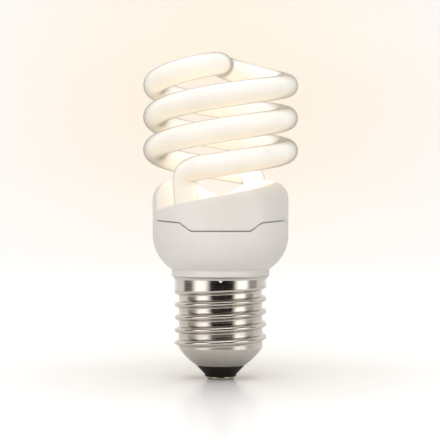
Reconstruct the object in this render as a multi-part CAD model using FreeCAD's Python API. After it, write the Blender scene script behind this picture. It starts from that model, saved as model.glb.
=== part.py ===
import FreeCAD, Part
import math
import os

# Spiral energy saving lamp with a 27 mm screw cap.
# Millimetres. The lamp axis is Z, the centre contact's flat face is at z = 0 and the spiral is up.
# The front of the lamp is -Y. Angles run counter-clockwise from +X, seen from above.
V = FreeCAD.Vector
UP = V(0, 0, 1)
FOOT = V(0, 0, 0)

# Screw cap, to the standard 27 mm round thread
THREAD_CREST_DIA = 26.4
THREAD_PITCH = 25.4 / 7
THREAD_DEPTH = 1.12
RIDGE_WIDTH = 2.3
SHELL_SHEET = 0.3
SHELL_MOUTH_RADIUS = 7.05
SHELL_DOME_BULGE = 0.35
COLLAR_HEIGHT = 1.4
FLARE_HEIGHT = 0.8
FLARE_WIDTH = 0.65
GROOVE_TURNS = 4.05
FADE_TURNS = 0.35
PUNCH_COUNT = 4
PUNCH_DEPTH = 0.2
PUNCH_WIDTH = 1.3

# Heights, stacked from the contact's face upwards
CONTACT_HEIGHT = 0.85
INSULATOR_HEIGHT = 3.2
SHELL_DOME_HEIGHT = 5.0
THREAD_HEIGHT = 19.0
HOUSING_HEIGHT = 16.05
COVER_HEIGHT = 11.3
COIL_GAP = 8.6

# Centre contact and insulator
CONTACT_RADIUS = 4.0
CONTACT_FACE_RADIUS = 3.4
INSULATOR_FOOT_RADIUS = 4.55
INSULATOR_FOOT = 0.6
SHANK_RADIUS = 1.2
SHANK_LENGTH = 2.4
INSULATOR_PLUG = 2.4

# Housing and cover
HOUSING_RADIUS = 19.45
WALL = 1.4
BOWL_HEIGHT = 10.05
NECK_RADIUS = 14.0
NECK_HEIGHT = 2.0
PLUG_LENGTH = 7.0
SEAM_GAP = 0.22
SEAM_DIP = 0.8
TAB_DEPTH = 2.3
TAB_FOOT_WIDTH = 16.5
TAB_TOP_WIDTH = 22.6
LAP_CLEARANCE = 0.1
LAP_HEIGHT = 1.2
LAP_WALL = 1.3
SHOULDER_RADIUS = 5.4
RAMP_DEPTH = 8.7
RAMP_START = 202.0
RAMP_SWEEP = 142.0
WELL_LEDGE = 2.45

# Spiral tube, two strands joined by a bridge across the top
TUBE_DIA = 6.7
COIL_RADIUS = 18.8
COIL_PITCH = 18.7
BRIDGE_RISE = 5.9
LEG_INSET = 4.85
LEG_ANGLE = 229.0
BEND_RADIUS = 5.0
FLARE_LENGTH = 20.0
LEG_DEPTH = 4.2
SOCKET_CLEARANCE = 0.3
BOND_GAP = 0.03
SOCKET_WALL = 1.1

# Circuit board and the parts on it
BOARD_SLACK = 0.65
BOARD_THICKNESS = 1.2
BOARD_DROP = 3.4
RIB_HEIGHT = 2.6
RIB_ANGLES = (20.0, 112.0, 160.0, 300.0)
LEAD_DIA = 0.6
LEAD_HOLE_DIA = 0.8
PIN_SIDE = 0.8
PIN_INSET = 3.0
PART_CLEARANCE = 0.7
CAN_RADIUS = 5.0
CAN_LENGTH = 14.0
FILM_LENGTH = 8.0
FILM_DEPTH = 3.6
FILM_HEIGHT = 6.4
TRANSISTOR_RADIUS = 2.4
TRANSISTOR_HEIGHT = 4.6
TRANSISTOR_FLAT = 1.7
TRANSISTOR_PITCH = 1.6
DIODE_DIA = 2.6
DIODE_LENGTH = 4.6
DIODE_FOLD = 2.6
RESISTOR_DIA = 1.8
RESISTOR_LENGTH = 3.6
RESISTOR_FOLD = 1.8
DIAC_DIA = 1.6
DIAC_LENGTH = 3.2

# Levels that follow from the stack
INSULATOR_Z = CONTACT_HEIGHT
SHELL_Z = INSULATOR_Z + INSULATOR_HEIGHT
THREAD_Z = SHELL_Z + SHELL_DOME_HEIGHT
COLLAR_Z = THREAD_Z + THREAD_HEIGHT
NECK_Z = COLLAR_Z + COLLAR_HEIGHT
SEAM_Z = NECK_Z + HOUSING_HEIGHT
COVER_TOP = SEAM_Z + COVER_HEIGHT
COIL_Z = COVER_TOP + COIL_GAP
BOARD_Z = SEAM_Z - BOARD_DROP
BOARD_TOP = BOARD_Z + BOARD_THICKNESS

# Radii that follow
CREST_RADIUS = THREAD_CREST_DIA / 2
ROOT_RADIUS = CREST_RADIUS - THREAD_DEPTH
TUBE_RADIUS = TUBE_DIA / 2
SOCKET_RADIUS = TUBE_RADIUS + SOCKET_CLEARANCE
LEG_RADIUS = HOUSING_RADIUS - LEG_INSET
WELL_RADIUS = LEG_RADIUS - SOCKET_RADIUS - WELL_LEDGE
LAP_RADIUS = HOUSING_RADIUS - WALL - LAP_CLEARANCE
BOARD_RADIUS = LAP_RADIUS - LAP_WALL - BOARD_SLACK


def polar(radius, angle, z):
    """Point at a radius and an angle in degrees."""
    a = math.radians(angle)
    return V(radius * math.cos(a), radius * math.sin(a), z)


def smooth(t):
    """Soft step from 0 to 1."""
    t = min(1.0, max(0.0, t))
    return t * t * (3 - 2 * t)


def outline(steps):
    """Closed wire in the XZ plane through (radius, height) steps.

    A step of four values is an arc: its end, then a point on its way there.
    """
    edges = []
    here = V(steps[-1][0], 0, steps[-1][1])
    for step in steps:
        there = V(step[0], 0, step[1])
        if len(step) == 4:
            edges.append(Part.Arc(here, V(step[2], 0, step[3]), there).toShape())
        else:
            edges.append(Part.makeLine(here, there))
        here = there
    return Part.Wire(edges)


def turned(steps):
    """Solid turned about the lamp axis."""
    return Part.Face(outline(steps)).revolve(FOOT, UP, 360)


def arc_step(centre_r, centre_z, radius, start, end):
    """Outline step along an arc, angles in degrees from the +R direction."""
    def at(angle):
        a = math.radians(angle)
        return centre_r + radius * math.cos(a), centre_z + radius * math.sin(a)
    return at(end) + at((start + end) / 2)


def both(solid):
    """A solid and its half-turn twin about the lamp axis."""
    twin = solid.copy()
    twin.rotate(FOOT, UP, 180)
    return [solid, twin]


def joined(solids):
    """One solid out of several that overlap or touch."""
    result = solids[0]
    if len(solids) > 1:
        result = result.multiFuse(solids[1:])
    return result.removeSplitter()


def box(x, y, z, length, depth, height):
    """Box centred on x and y, standing on z."""
    return Part.makeBox(length, depth, height, V(x - length / 2, y - depth / 2, z))


def rod(foot, head, radius):
    """Round rod between two points."""
    way = head - foot
    return Part.makeCylinder(radius, way.Length, foot, way)


def wire(points, diameter):
    """Round wire along straight runs with ball corners."""
    radius = diameter / 2
    solids = []
    for foot, head in zip(points, points[1:]):
        solids.append(rod(foot, head, radius))
    for corner in points[1:-1]:
        solids.append(Part.makeSphere(radius, corner))
    return joined(solids)


def edges_along(solid, way):
    """Straight edges of a solid that run one way."""
    return [e for e in solid.Edges if abs(e.tangentAt(e.FirstParameter).dot(way)) > 0.9]


def skin(rings, along):
    """Smooth closed skin through rings of points, placed at the values in along."""
    around = [i / len(rings[0]) for i in range(len(rings[0]) + 1)]
    rows = []
    for ring in rings:
        section = Part.BSplineCurve()
        section.interpolate(Points=ring, Parameters=around, PeriodicFlag=True)
        rows.append(section.getPoles())
    poles = []
    for column in zip(*rows):
        run = Part.BSplineCurve()
        run.interpolate(Points=list(column), Parameters=along)
        poles.append(run.getPoles())
    surface = Part.BSplineSurface()
    surface.buildFromPolesMultsKnots(poles, section.getMultiplicities(), run.getMultiplicities(),
                                     section.getKnots(), run.getKnots(), True, False, 3, 3)
    return surface.toShape()


def sewn(faces):
    """Closed solid sewn out of faces."""
    shell = Part.makeShell(faces)
    shell.sewShape()
    solid = Part.makeSolid(shell.Shells[0])
    if solid.Volume < 0:
        solid.reverse()
    return solid


# Spiral tube
def coil_height(angle):
    """Height of the first strand's centre line on the coil."""
    return COIL_Z + COIL_PITCH * (angle - 360) / 360


def strand_points():
    """Centre line of one strand: leg, bend, coil and its half of the top bridge."""
    slope = math.atan(COIL_PITCH / (2 * math.pi * COIL_RADIUS))
    bend_end = BEND_RADIUS * (1 - math.sin(slope))
    bend_z = coil_height(LEG_ANGLE) + bend_end * math.tan(slope) - BEND_RADIUS * math.cos(slope)
    leg_foot = socket_floor() - LEG_DEPTH
    flat = []
    for i in range(5):
        flat.append((0.0, leg_foot + (bend_z - leg_foot) * i / 4))
    for i in range(1, 6):
        turn = (math.pi / 2 - slope) * i / 5
        flat.append((BEND_RADIUS * (1 - math.cos(turn)), bend_z + BEND_RADIUS * math.sin(turn)))
    coil_start = LEG_ANGLE + math.degrees(bend_end / COIL_RADIUS)
    steps = math.ceil((720 - coil_start) / 20)
    for i in range(1, steps + 1):
        angle = coil_start + (720 - coil_start) * i / steps
        flat.append((COIL_RADIUS * math.radians(angle - LEG_ANGLE), coil_height(angle)))
    points = []
    run = 0.0
    for i, (across, z) in enumerate(flat):
        if i > 2:
            run += math.dist(flat[i - 1], (across, z))
        radius = LEG_RADIUS + (COIL_RADIUS - LEG_RADIUS) * smooth(run / FLARE_LENGTH)
        points.append(polar(radius, LEG_ANGLE + math.degrees(across / COIL_RADIUS), z))
    lobe = COIL_RADIUS / 2
    start_slope = COIL_PITCH / (2 * math.pi * COIL_RADIUS) * math.pi * lobe / BRIDGE_RISE
    for i in range(1, 9):
        t = i / 8
        rise = start_slope * (t - 2 * t * t + t ** 3) + 3 * t * t - 2 * t ** 3
        centre = polar(lobe, 180 * t, coil_height(720) + BRIDGE_RISE * rise)
        points.append(centre + V(lobe, 0, 0))
    return points


def spiral_tube():
    """Sealed glass tube, one solid: a round section carried along the centre line."""
    first = strand_points()
    second = [V(-p.x, -p.y, p.z) for p in reversed(first[:-1])]
    line = first + second
    across = V(1, 0, 0)
    rings = []
    along = []
    for i, centre in enumerate(line):
        ahead = line[min(i + 1, len(line) - 1)] - line[max(i - 1, 0)]
        ahead.normalize()
        across = across - ahead * across.dot(ahead)
        across.normalize()
        side = ahead.cross(across)
        spokes = [polar(TUBE_RADIUS, 30 * j, 0) for j in range(12)]
        rings.append([centre + across * spoke.x + side * spoke.y for spoke in spokes])
        along.append(along[-1] + (centre - line[i - 1]).Length if along else 0.0)
    wall = skin(rings, along)
    ends = [Part.Face(Part.Wire([e])) for e in wall.Edges if e.isClosed()]
    return sewn([wall] + ends)


# Upper cover
def ramp_floor(angle):
    """Height of the front ramp's floor."""
    return COVER_TOP - RAMP_DEPTH * (1 - (angle - RAMP_START) / RAMP_SWEEP)


def socket_floor():
    """Height of the ramp floor where a leg goes in."""
    return ramp_floor(LEG_ANGLE)


def ramp_cut(drop, back):
    """Space above a ramp, lowered by drop and started back degrees earlier."""
    wires = []
    steps = 10
    first = RAMP_START - back
    last = RAMP_START + RAMP_SWEEP * 1.08
    inner = WELL_RADIUS * 0.9
    outer = HOUSING_RADIUS * 1.2
    head = COVER_TOP * 1.05
    for i in range(steps + 1):
        angle = first + (last - first) * i / steps
        floor = ramp_floor(max(angle, RAMP_START)) - drop
        corners = [polar(inner, angle, floor), polar(outer, angle, floor)]
        corners += [polar(outer, angle, head), polar(inner, angle, head)]
        wires.append(Part.makePolygon(corners + corners[:1]))
    return Part.makeLoft(wires, True, False)


def drum(radius, shoulder, foot, top):
    """Round-shouldered drum, the cover before its ramps are cut."""
    shoulder_step = arc_step(radius - shoulder, top - shoulder, shoulder, 0, 90)
    return turned([(0, foot), (radius, foot), (radius, top - shoulder), shoulder_step, (0, top)])


def seam_block(above, lift):
    """Block above or below the stepped seam line, which runs front to back."""
    reach = HOUSING_RADIUS * 1.3
    edge = SEAM_Z + lift
    low = edge - SEAM_DIP
    deep = low - TAB_DEPTH
    line = [(-reach, edge), (-HOUSING_RADIUS, edge), (-TAB_TOP_WIDTH / 2, low), (-TAB_FOOT_WIDTH / 2, deep)]
    line += [(-x, z) for x, z in reversed(line)]
    far = SEAM_Z * 2 if above else 0.0
    line += [(reach, far), (-reach, far)]
    corners = [V(x, -reach, z) for x, z in line]
    face = Part.Face(Part.makePolygon(corners + corners[:1]))
    return face.extrude(V(0, 2 * reach, 0))


def sockets(radius, foot, head):
    """Upright cylinders at the two legs."""
    return both(Part.makeCylinder(radius, head - foot, polar(LEG_RADIUS, LEG_ANGLE, foot)))


def upper_cover():
    """Moulded cover that holds the tube, with two ramps, two sockets and two seam tabs."""
    foot = SEAM_Z - SEAM_DIP - TAB_DEPTH - 1
    floor = COVER_TOP - RAMP_DEPTH
    well = Part.makeCylinder(WELL_RADIUS, RAMP_DEPTH * 2, V(0, 0, floor))
    body = drum(HOUSING_RADIUS, SHOULDER_RADIUS, foot, COVER_TOP)
    body = body.cut([well] + both(ramp_cut(0, 0)))
    inner = HOUSING_RADIUS - WALL
    room = drum(inner, SHOULDER_RADIUS - WALL, foot - 1, COVER_TOP - WALL)
    room_well = Part.makeCylinder(WELL_RADIUS + WALL, RAMP_DEPTH * 2, V(0, 0, floor - WALL))
    wall_angle = math.degrees(WALL / LEG_RADIUS)
    room = room.cut([room_well] + both(ramp_cut(WALL, wall_angle)))
    socket_foot = socket_floor() - LEG_DEPTH
    collars = sockets(SOCKET_RADIUS + SOCKET_WALL, socket_foot, socket_floor())
    body = body.cut(room.cut(collars))
    body = body.cut(sockets(SOCKET_RADIUS, foot, socket_floor() + TUBE_RADIUS))
    return body.cut(seam_block(False, SEAM_GAP / 2)).removeSplitter()


def tube_cement():
    """Rings of cement that hold the legs in their sockets."""
    rings = []
    foot = socket_floor() - LEG_DEPTH * 0.8
    head = ramp_floor(LEG_ANGLE - math.degrees(SOCKET_RADIUS / LEG_RADIUS))
    bores = sockets(TUBE_RADIUS + BOND_GAP, foot, head)
    for plug, bore in zip(sockets(SOCKET_RADIUS, foot, head), bores):
        rings.append(plug.cut(bore))
    return Part.makeCompound(rings)


# Lower housing
def bowl_arc():
    """Centre and radius of the bowl's round side, which runs from the neck into the upright wall."""
    run = HOUSING_RADIUS - NECK_RADIUS
    radius = (BOWL_HEIGHT ** 2 + run ** 2) / (2 * run)
    return HOUSING_RADIUS - radius, NECK_Z + NECK_HEIGHT + BOWL_HEIGHT, radius


def bowl_inside(z):
    """Inner radius of the housing at a height."""
    centre_r, centre_z, radius = bowl_arc()
    drop = max(0.0, centre_z - z)
    return centre_r + math.sqrt((radius - WALL) ** 2 - drop ** 2)


def lower_housing():
    """Moulded bowl with the neck plug for the cap, the lap for the cover and four board ribs."""
    centre_r, centre_z, bowl_radius = bowl_arc()
    neck_top = NECK_Z + NECK_HEIGHT
    turn = math.degrees(math.asin(BOWL_HEIGHT / bowl_radius))
    plug = ROOT_RADIUS - SHELL_SHEET - LAP_CLEARANCE
    seat = CREST_RADIUS - SHELL_SHEET - LAP_CLEARANCE
    bore = plug - WALL
    plug_foot = NECK_Z - PLUG_LENGTH
    lap_top = SEAM_Z + LAP_HEIGHT
    lap_bore = LAP_RADIUS - LAP_WALL
    step = max(BOARD_Z - WALL, centre_z)
    room = bowl_radius - WALL
    room_turn = math.degrees(math.acos((bore - centre_r) / room))
    flare_foot = NECK_Z - FLARE_HEIGHT / 2
    steps = [(bore, plug_foot), (plug, plug_foot), (plug, COLLAR_Z), (seat, COLLAR_Z), (seat, flare_foot)]
    steps += [(seat + FLARE_WIDTH * 0.6, NECK_Z), (NECK_RADIUS - LAP_CLEARANCE, NECK_Z + LAP_CLEARANCE)]
    steps += [(NECK_RADIUS, NECK_Z + 2 * LAP_CLEARANCE), (NECK_RADIUS, neck_top)]
    steps += [arc_step(centre_r, centre_z, bowl_radius, -turn, 0)]
    steps += [(HOUSING_RADIUS, lap_top), (lap_bore, lap_top), (lap_bore, step + WALL)]
    steps += [(centre_r + room, step)]
    if step > centre_z:
        steps += [(centre_r + room, centre_z)]
    steps += [arc_step(centre_r, centre_z, room, 0, -room_turn)]
    body = turned(steps)
    core = Part.makeCylinder(LAP_RADIUS, SEAM_Z * 2)
    body = body.cut(seam_block(True, -SEAM_GAP / 2).cut(core))
    ribs = []
    for angle in RIB_ANGLES:
        rib = Part.makeBox(HOUSING_RADIUS - WALL / 2 - BOARD_RADIUS * 0.9, WALL, RIB_HEIGHT)
        rib.translate(V(BOARD_RADIUS * 0.9, -WALL / 2, BOARD_Z - RIB_HEIGHT))
        rib.rotate(FOOT, UP, angle)
        ribs.append(rib)
    body = joined([body] + ribs)
    room = sockets(SOCKET_RADIUS + SOCKET_WALL + LAP_CLEARANCE * 2, BOARD_TOP, COVER_TOP)
    return body.cut([socket.common(core) for socket in room])


# Screw cap, its skins laid through rings of points
RING_POINTS = 32


def thread_radius(turn, z):
    """Outer radius of the rolled thread at a turn (0 to 1) and a height: round ridges on a plain root."""
    first_crest = THREAD_Z - THREAD_PITCH * 0.12
    level = (z - first_crest) / THREAD_PITCH - turn
    away = abs(level - round(level)) * THREAD_PITCH
    ridge = math.cos(math.pi * min(0.5, away / RIDGE_WIDTH)) ** 2
    groove_turn = turn + math.floor(level)
    ridge_turn = turn + round(level)
    groove_left = 1 - smooth((groove_turn - GROOVE_TURNS) / FADE_TURNS)
    ridge_left = smooth(ridge_turn / FADE_TURNS)
    ridge = 1 - (1 - ridge) * groove_left * smooth((COLLAR_Z - z) / THREAD_PITCH * 3)
    ridge = ridge * ridge_left * smooth((z - THREAD_Z) / THREAD_PITCH * 3)
    return ROOT_RADIUS + THREAD_DEPTH * ridge


def flare_radius(z):
    """Outer radius of the collar, which flares out at its rim."""
    share = max(0.0, (z - NECK_Z) / FLARE_HEIGHT + 1)
    return CREST_RADIUS + FLARE_WIDTH * share ** 2


def shell_dome():
    """Centre, radius and end angles of the shell's lower dome, from its mouth to the thread."""
    run = ROOT_RADIUS - SHELL_MOUTH_RADIUS
    half = math.hypot(run, SHELL_DOME_HEIGHT) / 2
    radius = (half ** 2 + SHELL_DOME_BULGE ** 2) / (2 * SHELL_DOME_BULGE)
    facing = math.atan2(SHELL_DOME_HEIGHT, run) - math.pi / 2
    back = radius - SHELL_DOME_BULGE
    centre_r = (ROOT_RADIUS + SHELL_MOUTH_RADIUS) / 2 - back * math.cos(facing)
    centre_z = SHELL_Z + SHELL_DOME_HEIGHT / 2 - back * math.sin(facing)
    half_turn = math.degrees(math.asin(half / radius))
    facing = math.degrees(facing)
    return centre_r, centre_z, radius, facing - half_turn, facing + half_turn


def dome_inside(z):
    """Angle and radius on the inside of the shell's dome at a height."""
    centre_r, centre_z, radius, start, end = shell_dome()
    angle = math.asin((z - centre_z) / (radius - SHELL_SHEET))
    return math.degrees(angle), centre_r + (radius - SHELL_SHEET) * math.cos(angle)


def shell_wall():
    """Wall of the shell, measured square to the axis."""
    return ROOT_RADIUS - dome_inside(THREAD_Z)[1]


def circle(radius, z):
    """Ring of points about the lamp axis."""
    return [polar(radius, 360 * i / RING_POINTS, z) for i in range(RING_POINTS)]


def closed_edge(face, highest):
    """Lower or upper rim of a tube-shaped face."""
    rims = sorted((e for e in face.Edges if e.isClosed()), key=lambda e: e.BoundBox.Center.z)
    return rims[-1] if highest else rims[0]


def shell_side(inset, dome_radius, dome_end):
    """One side of the sheet: dome, rolled thread and collar, from the mouth up."""
    centre_r, centre_z, radius, start, end = shell_dome()
    rings = []
    for i in range(9):
        a = math.radians(start + (dome_end - start) * i / 8)
        rings.append(circle(centre_r + dome_radius * math.cos(a), centre_z + dome_radius * math.sin(a)))
    dome = skin(rings, list(range(9)))
    rings = []
    rows = 56
    turns = [j / RING_POINTS for j in range(RING_POINTS)]
    for i in range(rows + 1):
        z = THREAD_Z + THREAD_HEIGHT * i / rows
        rings.append([polar(thread_radius(turn, z) - inset, 360 * turn, z) for turn in turns])
    thread = skin(rings, list(range(rows + 1)))
    rings = []
    for i in range(9):
        z = COLLAR_Z + COLLAR_HEIGHT * i / 8
        rings.append(circle(flare_radius(z) - inset, z))
    collar = skin(rings, list(range(9)))
    return [dome, thread, collar]


def punch_mark(angle):
    """Three-sided dent that stakes the collar to the neck, deepest at its top."""
    out = polar(1, angle, 0)
    along = polar(PUNCH_WIDTH / 2, angle + 90, 0)
    face = out * (CREST_RADIUS + PUNCH_DEPTH / 2)
    top = face + UP * (NECK_Z - FLARE_HEIGHT)
    corners = [top + along, top - along, top - UP * PUNCH_WIDTH, top - out * (PUNCH_DEPTH * 1.5)]
    sides = []
    for skipped in range(4):
        three = corners[:skipped] + corners[skipped + 1:]
        sides.append(Part.Face(Part.makePolygon(three + three[:1])))
    return sewn(sides)


def screw_shell():
    """Thin rolled shell: dome, thread and collar, staked to the neck by punch marks."""
    radius, end = shell_dome()[2], shell_dome()[4]
    outside = shell_side(0, radius, end)
    inside = shell_side(shell_wall(), radius - SHELL_SHEET, dome_inside(THREAD_Z)[0])
    mouth = Part.makeRuledSurface(closed_edge(outside[0], False), closed_edge(inside[0], False))
    rim = Part.makeRuledSurface(closed_edge(outside[2], True), closed_edge(inside[2], True))
    shell = sewn(outside + inside + [mouth, rim])
    return shell.cut([punch_mark(270 + 360 * i / PUNCH_COUNT) for i in range(PUNCH_COUNT)])


def cap_insulator():
    """Black glass that carries the contact and fills the shell's mouth."""
    centre_r, centre_z, radius, start, end = shell_dome()
    inside = radius - SHELL_SHEET - BOND_GAP
    plug_angle = dome_inside(SHELL_Z + INSULATOR_PLUG)[0]
    bore = SHANK_RADIUS
    foot_top = INSULATOR_Z + INSULATOR_FOOT
    hollow = (INSULATOR_FOOT_RADIUS * 0.56 + SHELL_MOUTH_RADIUS * 0.44, INSULATOR_Z * 0.44 + SHELL_Z * 0.56)
    lip = start - math.degrees(BOND_GAP / radius)
    edge = arc_step(centre_r, centre_z, radius, lip, lip)[:2]
    mouth = arc_step(centre_r, centre_z, inside, lip, lip)[:2]
    steps = [(bore, INSULATOR_Z), (INSULATOR_FOOT_RADIUS * 0.95, INSULATOR_Z)]
    steps += [(INSULATOR_FOOT_RADIUS, INSULATOR_Z + INSULATOR_FOOT / 3), (INSULATOR_FOOT_RADIUS, foot_top)]
    steps += [edge + hollow, mouth, arc_step(centre_r, centre_z, inside, lip, plug_angle)]
    steps += [(bore, SHELL_Z + INSULATOR_PLUG)]
    return turned(steps)


def centre_contact():
    """Riveted contact: a flat-faced head and the shank that grips the live lead."""
    rim = arc_step(CONTACT_FACE_RADIUS, CONTACT_HEIGHT * 0.7, CONTACT_RADIUS - CONTACT_FACE_RADIUS, -90, 0)
    steps = [(0, 0), (CONTACT_FACE_RADIUS, 0), (CONTACT_RADIUS, CONTACT_HEIGHT) + rim[2:]]
    steps += [(SHANK_RADIUS, CONTACT_HEIGHT), (SHANK_RADIUS, CONTACT_HEIGHT + SHANK_LENGTH)]
    steps += [(0, CONTACT_HEIGHT + SHANK_LENGTH)]
    return turned(steps)


# Parts that hang under the board, each with leads through it
HOLES = []


def spot(x, y):
    """Point under the board, in shares of the board's radius."""
    return V(x * BOARD_RADIUS, y * BOARD_RADIUS, 0)


def lead(x, y, foot):
    """Lead from a height up through the board, with its hole noted."""
    HOLES.append((x, y))
    return rod(V(x, y, foot), V(x, y, BOARD_TOP + LEAD_DIA), LEAD_DIA / 2)


def standing(place, fold, diameter, length):
    """Axial part stood on end, its far lead folded back up to the board."""
    top = BOARD_Z - LEAD_DIA
    foot = top - length
    turn = foot - LEAD_DIA * 1.5
    back = place + fold
    body = Part.makeCylinder(diameter / 2, length, place + UP * foot)
    way = [place + UP * (foot + LEAD_DIA), place + UP * turn, back + UP * turn, back + UP * top]
    tail = wire(way, LEAD_DIA)
    return joined([body, tail, lead(place.x, place.y, top - LEAD_DIA), lead(back.x, back.y, top - LEAD_DIA)])


def film_capacitor(place, share):
    """Dipped film capacitor with two leads, at a share of the full size."""
    top = BOARD_Z - LEAD_DIA
    length, depth, height = FILM_LENGTH * share, FILM_DEPTH * share, FILM_HEIGHT * share
    body = box(place.x, place.y, top - height, length, depth, height)
    body = body.makeFillet(depth / 4, body.Edges)
    leads = [lead(place.x + side * length / 3, place.y, top - depth / 2) for side in (-1, 1)]
    return joined([body] + leads)


def resonant_capacitor():
    """Capacitor across the tube."""
    return film_capacitor(spot(0.1, -0.71), 1.0)


def blocking_capacitor():
    """Capacitor in series with the tube, a size smaller."""
    return film_capacitor(spot(-0.54, 0.51), 0.88)


def bulk_capacitor():
    """Sleeved electrolytic can that reaches down into the cap."""
    place = spot(-0.29, -0.03)
    top = BOARD_Z - LEAD_DIA
    can = Part.makeCylinder(CAN_RADIUS, CAN_LENGTH, place + UP * (top - CAN_LENGTH))
    can = can.makeFillet(CAN_RADIUS / 8, [can.Edges[0], can.Edges[2]])
    groove = Part.makeTorus(CAN_RADIUS * 1.06, CAN_RADIUS * 0.12, place + UP * (top - CAN_RADIUS * 0.4), UP)
    leads = [lead(place.x, place.y + side * CAN_RADIUS / 2, top - LEAD_DIA) for side in (-1, 1)]
    return joined([can.cut(groove)] + leads)


def transistors():
    """Two switching transistors with a flat front and three leads each."""
    solids = []
    foot = BOARD_Z - LEAD_DIA * 2 - TRANSISTOR_HEIGHT
    out = bowl_inside(foot) - TRANSISTOR_RADIUS - PART_CLEARANCE
    for angle, facing in ((-45, 225), (45, 135)):
        place = polar(out, angle, foot)
        side = TRANSISTOR_RADIUS * 2
        body = Part.makeCylinder(TRANSISTOR_RADIUS, TRANSISTOR_HEIGHT, place)
        flat = box(place.x + TRANSISTOR_FLAT + side / 2, place.y, foot, side, side, TRANSISTOR_HEIGHT)
        flat.rotate(place, UP, facing)
        legs = []
        for i in (-1, 0, 1):
            leg = place + polar(TRANSISTOR_PITCH * i, facing + 90, 0)
            legs.append(lead(leg.x, leg.y, foot + TRANSISTOR_HEIGHT - LEAD_DIA))
        solids.append(joined([body.cut(flat)] + legs))
    return Part.makeCompound(solids)


def rectifier_diodes():
    """Four diodes of the mains rectifier."""
    solids = []
    for angle in (184, 202, 220, 238):
        place = polar(BOARD_RADIUS * 0.725, angle, 0)
        solids.append(standing(place, polar(DIODE_FOLD, angle, 0), DIODE_DIA, DIODE_LENGTH))
    return Part.makeCompound(solids)


def resistors():
    """Three small resistors in a row."""
    solids = []
    for i in range(3):
        place = spot(0.15, -0.425) + V(0, 2 * RESISTOR_FOLD * i, 0)
        solids.append(standing(place, V(0, RESISTOR_FOLD, 0), RESISTOR_DIA, RESISTOR_LENGTH))
    return Part.makeCompound(solids)


def trigger_diac():
    """Glass trigger diode that starts the oscillator."""
    return standing(spot(-0.175, -0.51), V(0, RESISTOR_FOLD, 0), DIAC_DIA, DIAC_LENGTH)


# Choke
CHOKE_X = BOARD_RADIUS * 0.54
CHOKE_STACK = 5.0
CHOKE_LENGTH = 12.0
CHOKE_HEIGHT = 9.0
CHOKE_LEG = 2.6
CHOKE_WINDOW = 1.9
CHOKE_GAP = 0.1
CHOKE_Z = BOARD_Z - LEAD_DIA - CHOKE_HEIGHT / 2
BOBBIN_WALL = LEAD_DIA
BOBBIN_SLACK = 0.1
BOBBIN_LENGTH = CHOKE_LENGTH - 4 * CHOKE_WINDOW
WINDING_DEPTH = CHOKE_WINDOW - BOBBIN_WALL - 3 * BOBBIN_SLACK


def choke_box(width, length, height):
    """Box centred on the choke."""
    return box(CHOKE_X, 0, CHOKE_Z - height / 2, width, length, height)


def choke_core():
    """Two ferrite E halves that meet across a small gap."""
    block = choke_box(CHOKE_STACK, CHOKE_LENGTH, CHOKE_HEIGHT)
    inner = CHOKE_LEG + 2 * CHOKE_WINDOW
    window = choke_box(CHOKE_STACK * 2, CHOKE_LENGTH - 2 * CHOKE_WINDOW, inner)
    leg = choke_box(CHOKE_STACK * 3, CHOKE_LENGTH, CHOKE_LEG)
    core = block.cut(window.cut(leg)).cut(choke_box(CHOKE_STACK * 2, CHOKE_GAP, CHOKE_HEIGHT * 2))
    return Part.makeCompound(core.Solids)


def bobbin_tube(growth, length):
    """Rectangular block around the core's middle leg."""
    return choke_box(CHOKE_STACK + 2 * growth, length, CHOKE_LEG + 2 * growth)


def choke_bobbin():
    """Moulded bobbin with two flanges and four pins."""
    outside = BOBBIN_SLACK + BOBBIN_WALL
    body = [bobbin_tube(outside, BOBBIN_LENGTH)]
    flange = bobbin_tube(outside + WINDING_DEPTH, BOBBIN_WALL)
    for side in (-1, 1):
        cheek = flange.copy()
        cheek.translate(V(0, side * (BOBBIN_LENGTH - BOBBIN_WALL) / 2, 0))
        body.append(cheek)
    reach = CHOKE_STACK / 2 + outside + WINDING_DEPTH / 2
    for x in (-reach, reach):
        for y in (-1, 1):
            body.append(lead(CHOKE_X + x, y * (BOBBIN_LENGTH - BOBBIN_WALL) / 2, CHOKE_Z + CHOKE_LEG / 2))
    return joined(body).cut(bobbin_tube(BOBBIN_SLACK, BOBBIN_LENGTH * 2))


def choke_winding():
    """Copper winding that fills the bobbin."""
    outside = BOBBIN_SLACK + BOBBIN_WALL
    length = BOBBIN_LENGTH - 2 * BOBBIN_WALL
    coil = bobbin_tube(outside + WINDING_DEPTH - BOBBIN_SLACK, length)
    coil = coil.makeFillet(WINDING_DEPTH / 2, edges_along(coil, V(0, 1, 0)))
    return coil.cut(bobbin_tube(outside, length * 2))


# Drive transformer
RING_X = BOARD_RADIUS * 0.0125
RING_Y = BOARD_RADIUS * 0.69
RING_OUTER = 4.0
RING_INNER = 2.2
RING_HEIGHT = 3.2
RING_WIRE = 0.5
RING_SLACK = 0.05
RING_TOP = BOARD_Z - RING_WIRE - 4 * RING_SLACK


def drive_ring():
    """Ferrite ring of the drive transformer."""
    foot = V(RING_X, RING_Y, RING_TOP - RING_HEIGHT)
    hole = Part.makeCylinder(RING_INNER, RING_HEIGHT, foot)
    return Part.makeCylinder(RING_OUTER, RING_HEIGHT, foot).cut(hole)


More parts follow.
